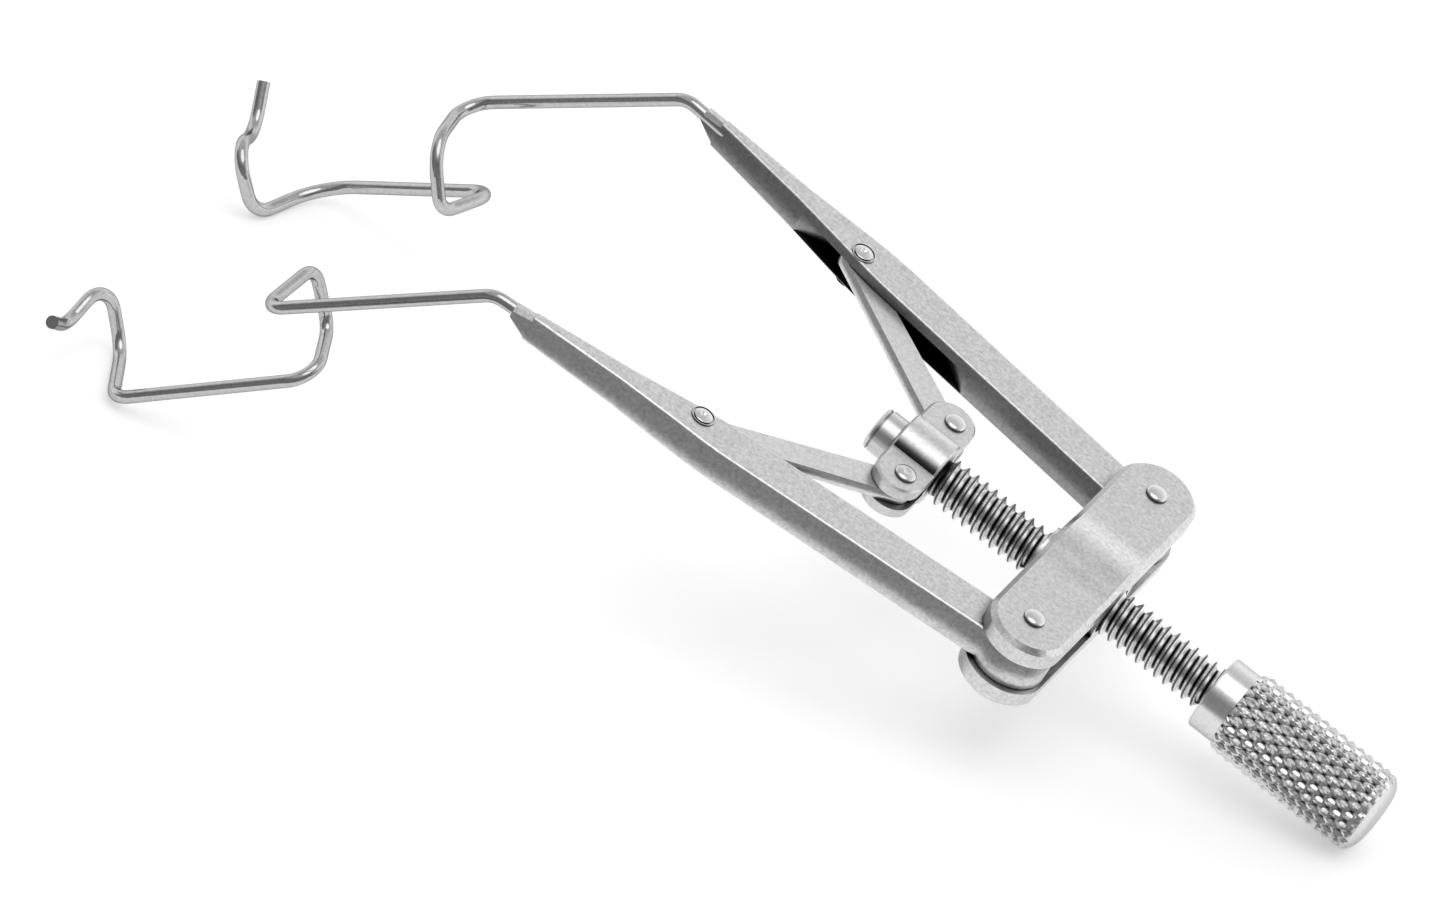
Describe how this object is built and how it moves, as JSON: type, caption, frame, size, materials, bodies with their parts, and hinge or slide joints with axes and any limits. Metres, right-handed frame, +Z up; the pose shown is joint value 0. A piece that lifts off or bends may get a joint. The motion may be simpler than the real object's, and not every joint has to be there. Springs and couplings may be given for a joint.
{
  "type": "eye speculum",
  "caption": "Wire eye speculum: hinged slotted arms on a riveted bridge, spread by a knurled thumb screw through a yoke and links, with bent wire lid blades.",
  "frame": {"origin": "on the surface that the instrument lies on, under the middle of its overall length and width", "axes": "+X from the wire blades to the thumb knob, +Y to the right arm as seen from the knob, +Z up from the surface"},
  "size_m": [0.097, 0.0338, 0.0221],
  "materials": {
    "satin_plate": "satin, fine bead-blasted grain",
    "satin_arm": "satin, fine bead-blasted grain with bright edges",
    "satin_link": "satin",
    "polished_yoke": "satin wings and polished hump",
    "rivet_steel": "polished",
    "polished_wire": "polished",
    "turned_steel": "fine turned",
    "thread_steel": "polished thread",
    "knurled_steel": "diamond knurl"
  },
  "bodies": {
    "frame": {"bridge_plate_top": "satin_plate", "bridge_plate_bottom": "satin_plate", "screw_nut": "turned_steel", "bridge_rivet_right": "rivet_steel", "bridge_rivet_left": "rivet_steel"},
    "right_arm": {"arm_right": "satin_arm", "link_pin_right": "rivet_steel", "wire_blade_right": "polished_wire"},
    "left_arm": {"arm_left": "satin_arm", "link_pin_left": "rivet_steel", "wire_blade_left": "polished_wire"},
    "yoke": {"yoke_plate_top": "polished_yoke", "yoke_plate_bottom": "polished_yoke", "yoke_rivet_right": "rivet_steel", "yoke_rivet_left": "rivet_steel"},
    "right_link": {"link_right": "satin_link"},
    "left_link": {"link_left": "satin_link"},
    "thumb_screw": {"screw": "thread_steel", "screw_end_cap": "turned_steel", "thumb_knob": "knurled_steel"}
  },
  "joints": [
    {"name": "yoke_slide", "type": "slide", "parent": "frame", "child": "yoke", "axis": [-0.9623, 0, 0.2719], "range_m": [-0.0019, 0.00249]},
    {"name": "screw_spin", "type": "hinge", "parent": "yoke", "child": "thumb_screw", "pos_m": [0.023, 0, 0.00984], "axis": [-0.9623, 0, 0.2719], "range_deg": [-860, 1130]},
    {"name": "right_arm_hinge", "type": "hinge", "parent": "frame", "child": "right_arm", "pos_m": [0.023, 0.00933, 0.00984], "axis": [-0.2719, 0, -0.9623], "range_deg": [-7.02, 9.22]},
    {"name": "left_arm_hinge", "type": "hinge", "parent": "frame", "child": "left_arm", "pos_m": [0.023, -0.00933, 0.00984], "axis": [0.2719, 0, 0.9623], "range_deg": [-7.02, 9.22]},
    {"name": "right_link_pivot", "type": "hinge", "parent": "yoke", "child": "right_link", "pos_m": [0.01001, 0.0038, 0.01351], "axis": [-0.2719, 0, -0.9623], "range_deg": [-14.6, 19.18]},
    {"name": "left_link_pivot", "type": "hinge", "parent": "yoke", "child": "left_link", "pos_m": [0.01001, -0.0038, 0.01351], "axis": [0.2719, 0, 0.9623], "range_deg": [-14.6, 19.18]}
  ],
  "couplings": [
    {"joint": "screw_spin", "follows": "yoke_slide", "rad_per_m": 7915.8},
    {"joint": "right_arm_hinge", "follows": "yoke_slide", "rad_per_m": 64.577},
    {"joint": "left_arm_hinge", "follows": "yoke_slide", "rad_per_m": 64.577},
    {"joint": "right_link_pivot", "follows": "yoke_slide", "rad_per_m": 134.39},
    {"joint": "left_link_pivot", "follows": "yoke_slide", "rad_per_m": 134.39}
  ]
}
